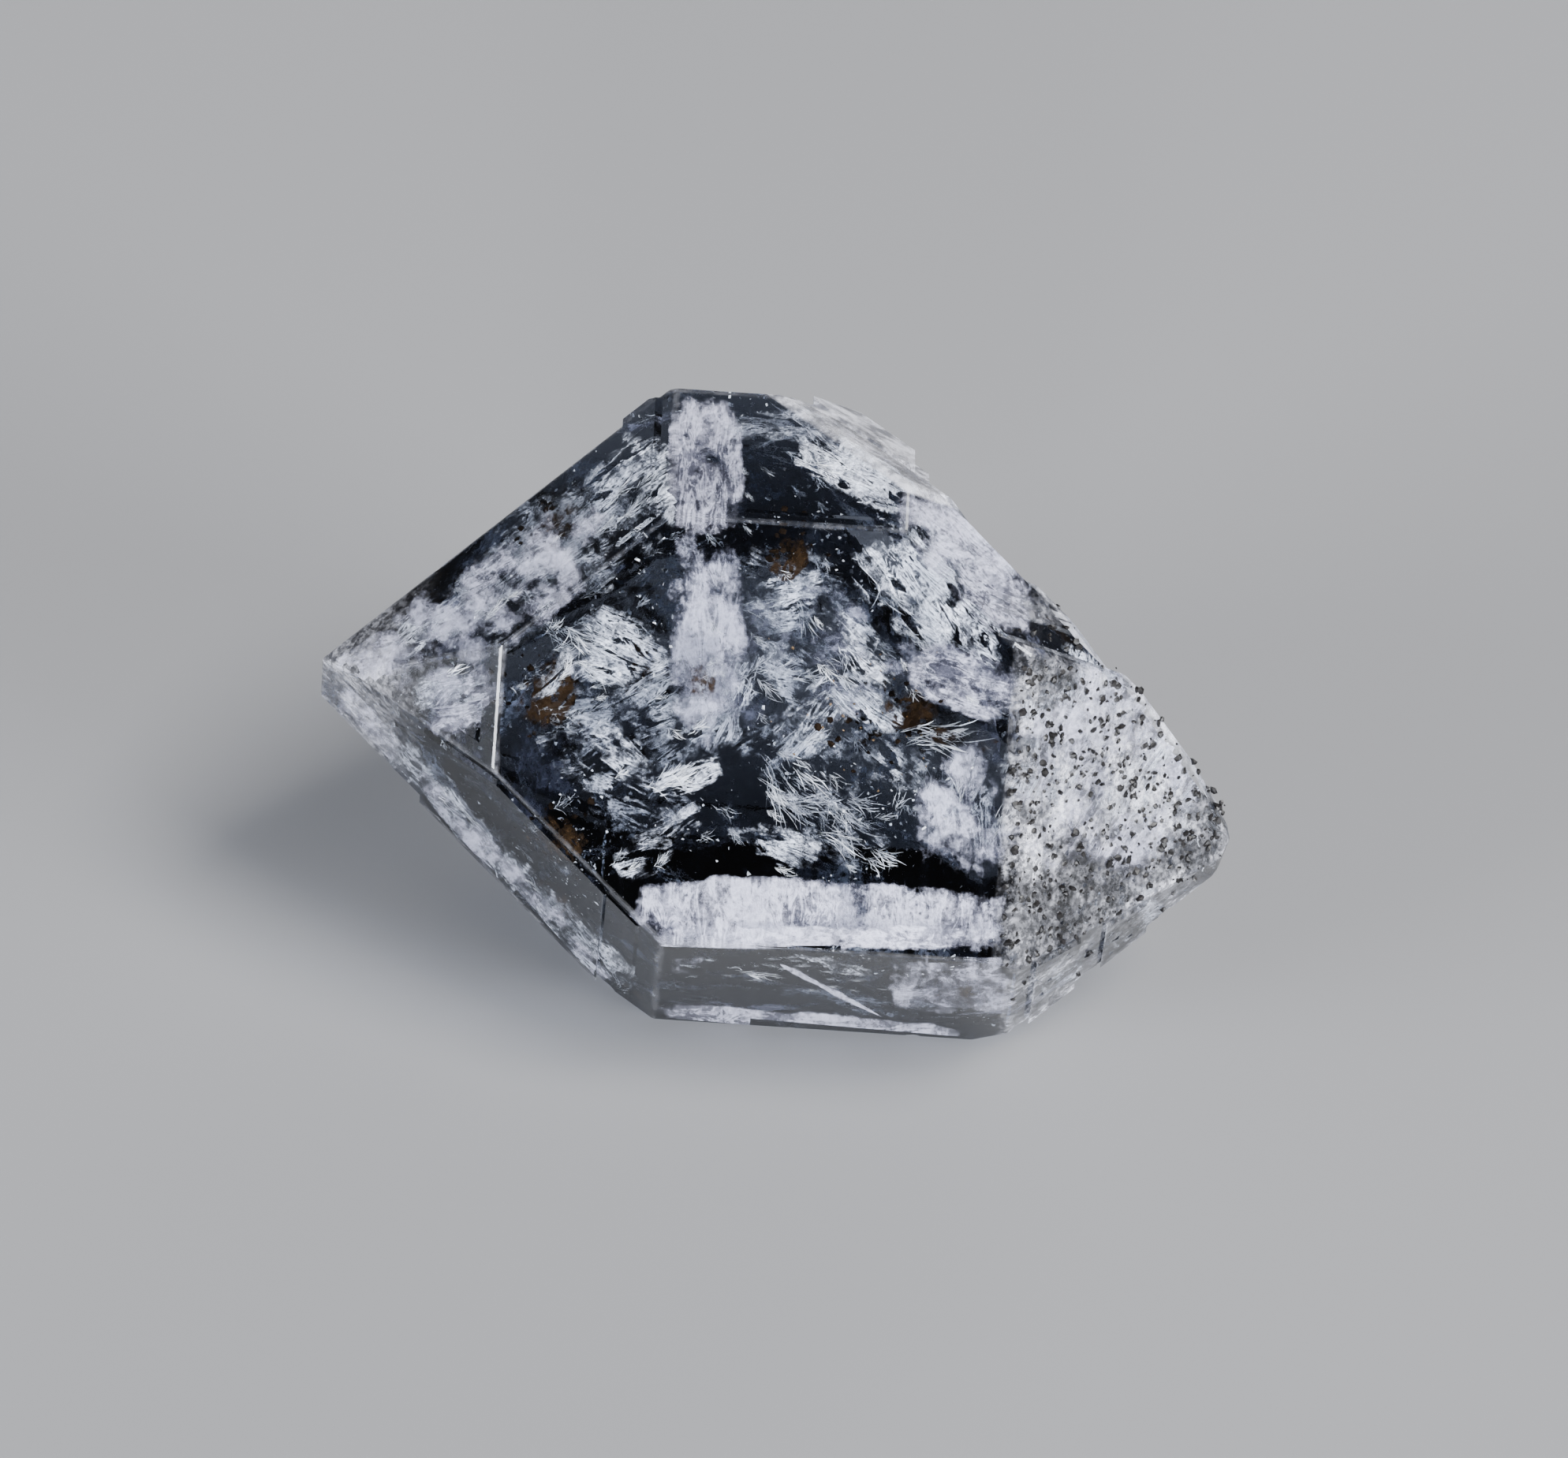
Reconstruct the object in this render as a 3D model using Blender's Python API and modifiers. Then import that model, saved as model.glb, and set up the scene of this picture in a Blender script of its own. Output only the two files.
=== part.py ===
"""Herkimer diamond: one clear quartz crystal with a point at both ends.

Blender 4.5, metres, +Z up. The long axis of the crystal runs along X, with the pitted, more
worn point at +X. The crystal lies on its lowest prism face at Z = 0, and the origin is under
the middle of its outline.

A crystal is the space that its flat faces enclose. Each face is therefore given the way
crystals are measured: by the direction that it looks in, and by how far it has grown from
the growth centre. Quartz fixes the directions, and the distances make this one crystal.
"""
import math
import random

import bmesh
import bpy
from mathutils import Matrix, Vector

MM = 0.001

# Angles of quartz, in degrees from the long axis
PRISM_POLAR = 90.0
POINT_POLAR = 51.79
TRIGONAL_POLAR = 65.55

# The six sides, in degrees round the long axis from +Y towards +Z
AZIMUTHS = {
    "top": 90,
    "front_upper": 150,
    "front_lower": 210,
    "base": 270,
    "back_lower": 330,
    "back_upper": 30,
}

# Distance of each face from the growth centre, in millimetres
PRISM_MM = {
    "top": 7.29,
    "front_upper": 5.22,
    "front_lower": 6.21,
    "base": 6.30,
    "back_lower": 6.61,
    "back_upper": 5.66,
}
LEFT_POINT_MM = {
    "top": 7.35,
    "front_upper": 7.86,
    "front_lower": 6.23,
    "base": 6.85,
    "back_lower": 7.31,
    "back_upper": 6.16,
}
RIGHT_POINT_MM = {
    "top": 7.30,
    "front_upper": 7.38,
    "front_lower": 8.38,
    "base": 7.99,
    "back_lower": 7.48,
    "back_upper": 4.88,
}

# Small extra faces: degrees from the axis, degrees round it, millimetres from the centre
EXTRA_FACES = {
    "trigonal_right": (TRIGONAL_POLAR, 60, 6.67),
    "front_strip_right": (70, 150, 6.645),
    "tip_wear_upper": (25, 90, 8.80),
    "tip_wear_front": (25, 210, 10.25),
    "tip_wear_back": (25, 330, 8.80),
}

# Worn edges
EDGE_WEAR = 0.07 * MM
EDGE_WEAR_STEPS = 2
EDGE_WEAR_FROM = math.radians(25)

# Thin plates of late growth, in millimetres: how far each raised face stands out, the
# nearer distances where the plate stops, and the stretch of the long axis that it covers
PLATE_INSET = 0.22
GROWTH_PLATES = {
    "back_crown": {
        "raised": {"back_upper": 0.46, "right_back_upper": 0.86, "trigonal_right": 0.03},
        "stops": {"top": 6.45, "right_top": 6.55, "back_lower": 2.40},
        "from_x": 0.42,
        "to_x": 2.72,
    },
    "back_crown_step": {
        "raised": {"back_upper": 0.22, "right_back_upper": 0.50},
        "stops": {"top": 6.62, "right_top": 6.90, "back_lower": 3.10},
        "from_x": -0.30,
        "to_x": 3.05,
        "inset": 0.12,
    },
    "left_crown_plate": {
        "raised": {"left_top": 0.10, "left_back_upper": 0.10},
        "from_x": -3.75,
    },
    "left_flank_plate": {
        "raised": {"left_front_upper": 0.06},
        "stops": {"left_top": 6.55},
        "inset": 0.28,
    },
    "left_heel_plate": {
        "raised": {"left_front_lower": 0.10, "left_base": 0.10},
        "from_x": -7.65,
        "to_x": -3.49,
    },
    "left_heel_inner_plate": {
        "raised": {"left_front_lower": 0.05},
        "stops": {"left_front_upper": 6.90},
        "from_x": -8.30,
        "inset": 0.38,
    },
    "right_heel_plate": {
        "raised": {"right_front_lower": 0.09, "right_base": 0.09},
        "from_x": 6.10,
        "to_x": 7.05,
    },
    "right_heel_outer_plate": {
        "raised": {"right_front_lower": 0.07, "right_base": 0.10},
        "from_x": 7.60,
        "to_x": 8.55,
    },
    "top_plate": {
        "raised": {"top": 0.06},
        "stops": {"right_top": 7.05},
        "from_x": -0.95,
    },
    "back_plate": {
        "raised": {"back_upper": 0.07},
        "stops": {"left_back_upper": 5.30, "top": 6.60},
        "to_x": 1.90,
    },
    "back_heel_plate": {
        "raised": {"back_lower": 0.08, "left_back_lower": 0.08},
        "stops": {"base": 5.75},
        "from_x": -6.30,
        "to_x": 0.85,
    },
}

# Bands where growth lagged, in millimetres: the face that they lower and how deep, and the
# face whose level lines they follow, from one distance to another
GROWTH_BANDS = {
    "shoulder_band": ("right_top", 0.08, "right_front_upper", 6.29, 7.14),
    "shoulder_inner_band": ("right_top", 0.15, "right_front_upper", 6.48, 7.03),
    "back_band": ("right_back_upper", 0.17, "right_front_upper", 4.55, 5.86),
    "back_shoulder_band": ("right_back_upper", 0.24, "right_front_upper", 6.33, 7.10),
}

# Etch pits on the worn faces of the right end
PIT_COUNTS = {"right_front_upper": 46, "right_front_lower": 18, "right_top": 8}
PIT_RADIUS = (0.05 * MM, 0.125 * MM)
PIT_DEPTH = (0.049 * MM, 0.084 * MM)
PIT_SIDES = 3
PIT_TURN = 0.2
PIT_REACH = 0.20 * MM
PIT_TAPER = 0.35
PIT_GAP = 0.05 * MM
PIT_EDGE_MARGIN = 0.32 * MM
PIT_FROM_X = 5.75 * MM
PIT_FIELD = 10 * MM

# Long grooves among the pits: face, nearby point, length and width in millimetres
GROOVES_MM = (
    ("right_front_upper", (7.35, -3.15, 1.35), 0.95, 0.20),
    ("right_front_upper", (6.55, -4.05, 1.10), 0.60, 0.16),
    ("right_front_upper", (8.20, -3.00, 0.30), 0.45, 0.14),
)
GROOVE_DEPTH = 0.09 * MM
GROOVE_SIDES = 6

# Chips along the ridges: the two faces of the ridge, place along the axis and radius
CHIPS_MM = (
    ("right_front_lower", "right_base", 5.85, 0.24),
    ("right_front_lower", "right_base", 7.32, 0.22),
    ("right_front_lower", "right_base", 8.95, 0.26),
    ("right_front_upper", "right_front_lower", 8.30, 0.20),
    ("right_front_upper", "right_front_lower", 6.60, 0.15),
    ("right_top", "right_back_upper", 8.75, 0.20),
    ("right_top", "right_back_upper", 7.35, 0.16),
    ("left_front_lower", "left_base", -3.20, 0.20),
    ("left_front_lower", "left_base", -8.45, 0.18),
    ("left_top", "left_back_upper", -7.60, 0.16),
    ("front_lower", "base", 0.90, 0.17),
    ("front_lower", "base", 3.60, 0.22),
    ("back_lower", "base", 1.80, 0.24),
    ("back_lower", "back_upper", -0.60, 0.20),
)
CHIP_FLATNESS = 0.55
CHIP_ROUGHNESS = 0.22

# Making
BLOCK = 40 * MM
CUT_TOLERANCE = 1e-7
SEED = 7

# Finish
CLEAR_COLOUR = (0.92, 0.94, 0.97, 1.0)
CLEAR_ROUGHNESS = 0.04
QUARTZ_IOR = 1.544


def face_normal(polar, azimuth):
    """Unit vector of a face from its two angles in degrees."""
    polar, azimuth = math.radians(polar), math.radians(azimuth)
    round_axis = Vector((0.0, math.cos(azimuth), math.sin(azimuth)))
    return Vector((math.cos(polar), 0.0, 0.0)) + math.sin(polar) * round_axis


def all_faces():
    """Every face by name, as its unit vector and its distance from the growth centre."""
    faces = {}
    for side, azimuth in AZIMUTHS.items():
        faces[side] = (face_normal(PRISM_POLAR, azimuth), PRISM_MM[side] * MM)
        left = face_normal(180 - POINT_POLAR, azimuth)
        faces["left_" + side] = (left, LEFT_POINT_MM[side] * MM)
        right = face_normal(POINT_POLAR, azimuth)
        faces["right_" + side] = (right, RIGHT_POINT_MM[side] * MM)
    for name, (polar, azimuth, distance) in EXTRA_FACES.items():
        faces[name] = (face_normal(polar, azimuth), distance * MM)
    return faces


def keep_inside(bm, normal, distance):
    """Cuts off what lies beyond a plane, and closes the cut with one flat face."""
    everything = bm.verts[:] + bm.edges[:] + bm.faces[:]
    cut = bmesh.ops.bisect_plane(
        bm,
        geom=everything,
        dist=CUT_TOLERANCE,
        plane_co=normal * distance,
        plane_no=normal,
        clear_outer=True,
    )
    rim = [item for item in cut["geom_cut"] if isinstance(item, bmesh.types.BMEdge)]
    if rim:
        bmesh.ops.contextual_create(bm, geom=rim)


def cut_to_faces(faces):
    """A block cut back to the given faces, one plane for each."""
    bm = bmesh.new()
    bmesh.ops.create_cube(bm, size=BLOCK)
    for normal, distance in faces.values():
        keep_inside(bm, normal, distance)
    bmesh.ops.recalc_face_normals(bm, faces=bm.faces[:])
    return bm


def new_object(name, bm, collection):
    """An object made from a bmesh, which is used up."""
    mesh = bpy.data.meshes.new(name)
    bm.to_mesh(mesh)
    bm.free()
    piece = bpy.data.objects.new(name, mesh)
    collection.objects.link(piece)
    return piece


def add_bevel(piece, width, steps):
    """Wear on the edges where two faces meet at a clear angle."""
    bevel = piece.modifiers.new("worn_edges", "BEVEL")
    bevel.width = width
    bevel.segments = steps
    bevel.limit_method = "ANGLE"
    bevel.angle_limit = EDGE_WEAR_FROM


def add_boolean(piece, helper, operation):
    """Joins a helper to the crystal or cuts it out, and hides the helper."""
    boolean = piece.modifiers.new(helper.name, "BOOLEAN")
    boolean.object = helper
    boolean.operation = operation
    boolean.solver = "EXACT"
    helper.parent = piece
    helper.hide_render = True
    helper.display_type = "WIRE"


def growth_plate(faces, plate):
    """The crystal again, grown out on a few faces and held back on all the others."""
    limits = {}
    for name, (normal, distance) in faces.items():
        if name in plate["raised"]:
            limits[name] = (normal, distance + plate["raised"][name] * MM)
        elif name in plate.get("stops", {}):
            limits[name] = (normal, plate["stops"][name] * MM)
        else:
            limits[name] = (normal, distance - plate.get("inset", PLATE_INSET) * MM)
    if "from_x" in plate:
        limits["from_x"] = (Vector((-1, 0, 0)), -plate["from_x"] * MM)
    if "to_x" in plate:
        limits["to_x"] = (Vector((1, 0, 0)), plate["to_x"] * MM)
    return cut_to_faces(limits)


def growth_band(faces, lowered, depth, across, start, end):
    """The slab to take away above a lowered face, between two level planes of another."""
    floor_normal, floor_distance = faces[lowered]
    across_normal = faces[across][0]
    limits = {
        "floor": (-floor_normal, depth * MM - floor_distance),
        "start": (-across_normal, -start * MM),
        "end": (across_normal, end * MM),
    }
    return cut_to_faces(limits)


def face_axes(normal):
    """Directions in a face: along its level line round the axis, and along its slope."""
    level = Vector((1, 0, 0)).cross(normal).normalized()
    return level, normal.cross(level)


def inside_face(point, own_name, faces, margin):
    """Whether a point on a face keeps clear of every other face."""
    others = (face for name, face in faces.items() if name != own_name)
    return all(normal.dot(point) < distance - margin for normal, distance in others)


def add_pit(bm, point, normal, radius, depth, sides, shape):
    """A pit with straight sides that narrows inwards, from above the face to its depth."""
    level, slope = face_axes(normal)
    place = Matrix((level, slope, normal)).transposed().to_4x4()
    place.translation = point + normal * (PIT_REACH - depth) / 2
    bmesh.ops.create_cone(
        bm,
        cap_ends=True,
        segments=sides,
        radius1=radius - PIT_TAPER * depth,
        radius2=radius + PIT_TAPER * PIT_REACH,
        depth=depth + PIT_REACH,
        matrix=place @ shape,
    )


def clear_of(taken, point, radius):
    """Whether a new pit keeps its distance from those already placed."""
    own_reach = radius + PIT_TAPER * PIT_REACH + PIT_GAP
    return all((other - point).length > reach + own_reach for other, reach in taken)


def etch_pits(faces, rng):
    """All the pits as one mesh, none of them touching another."""
    bm = bmesh.new()
    taken = []
    for name, middle, length, width in GROOVES_MM:
        normal, distance = faces[name]
        point = Vector(middle) * MM
        point += normal * (distance - normal.dot(point))
        lengthen = Matrix.Scale(length / width, 4, (1, 0, 0))
        add_pit(bm, point, normal, width * MM / 2, GROOVE_DEPTH, GROOVE_SIDES, lengthen)
        taken.append((point, length * MM / 2 + PIT_REACH))
    for name, count in PIT_COUNTS.items():
        normal, distance = faces[name]
        level, slope = face_axes(normal)
        middle = normal * distance
        made = 0
        while made < count:
            across, down = rng.uniform(-PIT_FIELD, PIT_FIELD), rng.uniform(-PIT_FIELD, PIT_FIELD)
            point = middle + level * across + slope * down
            radius = rng.uniform(*PIT_RADIUS)
            if point.x < PIT_FROM_X or not clear_of(taken, point, radius):
                continue
            if not inside_face(point, name, faces, PIT_EDGE_MARGIN):
                continue
            angle = rng.choice((0, math.pi)) + rng.uniform(-PIT_TURN, PIT_TURN)
            turn = Matrix.Rotation(angle, 4, "Z")
            add_pit(bm, point, normal, radius, rng.uniform(*PIT_DEPTH), PIT_SIDES, turn)
            taken.append((point, radius + PIT_TAPER * PIT_REACH))
            made += 1
    return bm


def ridge_point(faces, first, second, x):
    """The point of a ridge between two faces at a place along the long axis."""
    (normal_1, distance_1), (normal_2, distance_2) = faces[first], faces[second]
    rows = Matrix((normal_1, normal_2, Vector((1, 0, 0))))
    return rows.inverted() @ Vector((distance_1, distance_2, x))


def ridge_chips(faces, rng):
    """Shallow chips as rough flattened pebbles, whose middles lie on the ridges."""
    bm = bmesh.new()
    for first, second, x, radius in CHIPS_MM:
        point = ridge_point(faces, first, second, x * MM)
        outward = (faces[first][0] + faces[second][0]).normalized()
        pebble = bmesh.ops.create_icosphere(bm, subdivisions=1, radius=radius * MM)["verts"]
        for vert in pebble:
            vert.co *= 1 + rng.uniform(-CHIP_ROUGHNESS, CHIP_ROUGHNESS)
        flatten = Matrix.Scale(CHIP_FLATNESS, 4, outward)
        spin = Matrix.Rotation(rng.uniform(0, math.tau), 4, outward)
        place = Matrix.Translation(point) @ flatten @ spin
        bmesh.ops.transform(bm, matrix=place, verts=pebble)
    return bm


def crystal_material():
    """Water-clear quartz."""
    material = bpy.data.materials.new("clear_quartz")
    material.use_nodes = True
    shader = material.node_tree.nodes["Principled BSDF"]
    shader.inputs["Base Color"].default_value = CLEAR_COLOUR
    shader.inputs["Roughness"].default_value = CLEAR_ROUGHNESS
    shader.inputs["Metallic"].default_value = 0.0
    shader.inputs["IOR"].default_value = QUARTZ_IOR
    shader.inputs["Transmission Weight"].default_value = 1.0
    material.diffuse_color = CLEAR_COLOUR
    return material


def stand_on_origin(crystal):
    """Moves the crystal so that the middle of its box's floor is the origin."""
    bpy.context.view_layer.update()
    shape = crystal.evaluated_get(bpy.context.evaluated_depsgraph_get()).to_mesh()
    lows = [min(vert.co[axis] for vert in shape.vertices) for axis in range(3)]
    highs = [max(vert.co[axis] for vert in shape.vertices) for axis in range(3)]
    crystal.location = (-(lows[0] + highs[0]) / 2, -(lows[1] + highs[1]) / 2, -lows[2])
    size = [(high - low) / MM for low, high in zip(lows, highs)]
    print("crystal size in mm", [round(side, 2) for side in size])
    print("growth centre in mm", [round(value / MM, 3) for value in crystal.location])


def main():
    for old in list(bpy.data.objects):
        bpy.data.objects.remove(old, do_unlink=True)
    parts = bpy.data.collections.new("herkimer_diamond")
    helpers = bpy.data.collections.new("cutters")
    bpy.context.scene.collection.children.link(parts)
    bpy.context.scene.collection.children.link(helpers)
    rng = random.Random(SEED)
    faces = all_faces()

    crystal = new_object("crystal", cut_to_faces(faces), parts)
    crystal.data.materials.append(crystal_material())
    add_bevel(crystal, EDGE_WEAR, EDGE_WEAR_STEPS)

    for name, plate in GROWTH_PLATES.items():
        helper = new_object(name, growth_plate(faces, plate), helpers)
        add_boolean(crystal, helper, "UNION")

    for name, band in GROWTH_BANDS.items():
        helper = new_object(name, growth_band(faces, *band), helpers)
        add_boolean(crystal, helper, "DIFFERENCE")

    add_boolean(crystal, new_object("etch_pits", etch_pits(faces, rng), helpers), "DIFFERENCE")
    add_boolean(crystal, new_object("ridge_chips", ridge_chips(faces, rng), helpers), "DIFFERENCE")
    stand_on_origin(crystal)


main()
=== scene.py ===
# %% [markdown]
# A herkimer diamond is not a diamond. It is a clear quartz crystal that grew loose in a pocket
# of rock, so it has a point at both ends. This lesson dresses the measured solid of one such
# crystal: first its clear skin, then everything that floats inside it.

# %% Load the measured solid
import math
import random

import bmesh
import bpy
from mathutils import Matrix, Vector, noise


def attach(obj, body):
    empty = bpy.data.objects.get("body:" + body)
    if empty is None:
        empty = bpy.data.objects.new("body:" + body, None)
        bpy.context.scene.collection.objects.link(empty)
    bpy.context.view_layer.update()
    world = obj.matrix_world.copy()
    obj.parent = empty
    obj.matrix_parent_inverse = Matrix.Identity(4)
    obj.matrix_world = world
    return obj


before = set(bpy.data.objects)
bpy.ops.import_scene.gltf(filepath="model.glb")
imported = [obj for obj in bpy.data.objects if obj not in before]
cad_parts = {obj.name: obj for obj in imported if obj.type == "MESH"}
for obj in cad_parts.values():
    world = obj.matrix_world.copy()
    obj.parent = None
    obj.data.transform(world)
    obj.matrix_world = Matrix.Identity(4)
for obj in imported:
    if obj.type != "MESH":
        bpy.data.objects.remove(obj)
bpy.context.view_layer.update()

# %% [markdown]
# A crystal is easiest to describe from inside. Every face looks in a direction that quartz
# fixes, and lies at its own distance from one point, the growth centre. With that list a
# program can tell whether a speck lies inside the crystal, how near it is to a face, and
# where a ridge runs. Sizes here are in millimetres, because the crystal is 20 mm long.

# %% Faces of the crystal
MM = 0.001
GROWTH_CENTRE = Vector((-0.121, -0.243, 6.30)) * MM
POINT_POLAR = 51.79
SIDES = {"top": 90, "front_upper": 150, "front_lower": 210, "base": 270, "back_lower": 330, "back_upper": 30}
SIDE_MM = dict(zip(SIDES, (7.29, 5.22, 6.21, 6.30, 6.61, 5.66)))
LEFT_MM = dict(zip(SIDES, (7.35, 7.86, 6.23, 6.85, 7.31, 6.16)))
RIGHT_MM = dict(zip(SIDES, (7.30, 7.38, 8.38, 7.99, 7.48, 4.88)))


def face_normal(polar, azimuth):
    """Unit vector of a face: degrees from the long axis, and round it from the back upwards."""
    polar, azimuth = math.radians(polar), math.radians(azimuth)
    round_axis = Vector((0.0, math.cos(azimuth), math.sin(azimuth)))
    return Vector((math.cos(polar), 0.0, 0.0)) + math.sin(polar) * round_axis


FACES = {}
for side, azimuth in SIDES.items():
    FACES[side] = (face_normal(90, azimuth), SIDE_MM[side])
    FACES["left_" + side] = (face_normal(180 - POINT_POLAR, azimuth), LEFT_MM[side])
    FACES["right_" + side] = (face_normal(POINT_POLAR, azimuth), RIGHT_MM[side])
FACES["shoulder"] = (face_normal(65.55, 60), 6.67)
FACES["tip"] = (Vector((1, 0, 0)), 10.1)
print(len(FACES), "faces")


def nearest_face(point):
    """The distance in millimetres to the nearest face, negative outside, and that face."""
    return min((distance - normal.dot(point), face) for face, (normal, distance) in FACES.items())


def room_inside(point):
    """How far a point lies from the nearest face, in millimetres; negative outside."""
    return nearest_face(point)[0]


# %% [markdown]
# The photograph looks down on the crystal from the front at 43 degrees, with a long lens that
# hardly narrows with distance. The camera therefore stands far back. Its three directions are
# worked out first, because they also serve to place what is seen through a face.

# %% Camera
VIEW_TURN = math.radians(-1.15)
VIEW_HEIGHT = math.radians(43.0)
VIEW_ROLL = math.radians(4.55)
VIEW_WIDTH = 34.6 * MM
VIEW_SHIFT = (0.244 * MM, -0.426 * MM)
CAMERA_DISTANCE = 0.6
SENSOR = 36.0

level = math.cos(VIEW_HEIGHT)
TO_CAMERA = Vector((math.sin(VIEW_TURN) * level, -math.cos(VIEW_TURN) * level, math.sin(VIEW_HEIGHT)))
flat_right = Vector((math.cos(VIEW_TURN), math.sin(VIEW_TURN), 0.0))
flat_up = TO_CAMERA.cross(flat_right)
RIGHT = math.cos(VIEW_ROLL) * flat_right + math.sin(VIEW_ROLL) * flat_up
UP = math.cos(VIEW_ROLL) * flat_up - math.sin(VIEW_ROLL) * flat_right

camera_data = bpy.data.cameras.new("camera")
camera_data.sensor_width = SENSOR
camera_data.lens = SENSOR * CAMERA_DISTANCE / VIEW_WIDTH
camera_data.clip_start = 0.01
camera = bpy.data.objects.new("camera", camera_data)
bpy.context.collection.objects.link(camera)
aim = GROWTH_CENTRE + RIGHT * VIEW_SHIFT[0] + UP * VIEW_SHIFT[1]
turn = Matrix((RIGHT, UP, TO_CAMERA)).transposed().to_4x4()
camera.matrix_world = Matrix.Translation(aim + TO_CAMERA * CAMERA_DISTANCE) @ turn
bpy.context.scene.camera = camera
print("camera lens", round(camera_data.lens), "mm")

# %% [markdown]
# What lies inside is seen bent by the surface. This helper follows a line of sight to a face,
# bends it as quartz does, and goes on inside for a given depth. A cloud or a crack can then be
# given by where it is seen, in millimetres right and up of the growth centre.

# %% Place something behind a face
QUARTZ_IOR = 1.544


def seen_through(face, right, up, depth):
    """The point inside, at a depth in millimetres, that shows at a place in the picture."""
    normal, distance = FACES[face]
    start = RIGHT * right + UP * up
    entry = start + TO_CAMERA * ((distance - normal.dot(start)) / normal.dot(TO_CAMERA))
    sideways = (-TO_CAMERA + normal * normal.dot(TO_CAMERA)) / QUARTZ_IOR
    inward = sideways - normal * math.sqrt(1 - sideways.length_squared)
    return entry + inward * depth


def picture_turn(angle, lean=(0, 0, 0)):
    """A turn whose X runs at an angle in the picture, and whose Z looks out at the viewer."""
    angle = math.radians(angle)
    along = RIGHT * math.cos(angle) + UP * math.sin(angle)
    facing = (TO_CAMERA + Vector(lean)).normalized()
    across = facing.cross(along).normalized()
    return Matrix((across.cross(facing), across, facing)).transposed().to_4x4()


print("middle of the front face", [round(value, 2) for value in seen_through("front_upper", 0, 0, 3)])

# %% [markdown]
# Finishes are networks of small nodes. Sums of nodes are hard to read, so a number that varies
# over a surface is wrapped in a class that turns ordinary arithmetic into Math nodes.

# %% Shader arithmetic
class Field:
    """A number that varies over a surface."""

    def __init__(self, finish, socket):
        self.finish, self.socket = finish, socket

    def math(self, operation, *others, clamp=False):
        """Any Math node; the numbers that follow the operation are its other inputs."""
        settings = {"operation": operation, "use_clamp": clamp}
        node = self.finish.node("ShaderNodeMath", settings, dict(enumerate((self, *others))))
        return Field(self.finish, node.outputs[0])

    def __add__(self, other):
        return self.math("ADD", other)

    def __sub__(self, other):
        return self.math("SUBTRACT", other)

    def __rsub__(self, other):
        return (self * -1).math("ADD", other)

    def __mul__(self, other):
        return self.math("MULTIPLY", other)

    def __truediv__(self, other):
        return self.math("DIVIDE", other)

    __radd__, __rmul__ = __add__, __mul__

    def ramp(self, start, end):
        """0 up to the start, 1 from the end, and smooth between."""
        node = self.finish.node(
            "ShaderNodeMapRange",
            {"interpolation_type": "SMOOTHSTEP"},
            {"Value": self, "From Min": start, "From Max": end},
        )
        return Field(self.finish, node.outputs["Result"])


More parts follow.
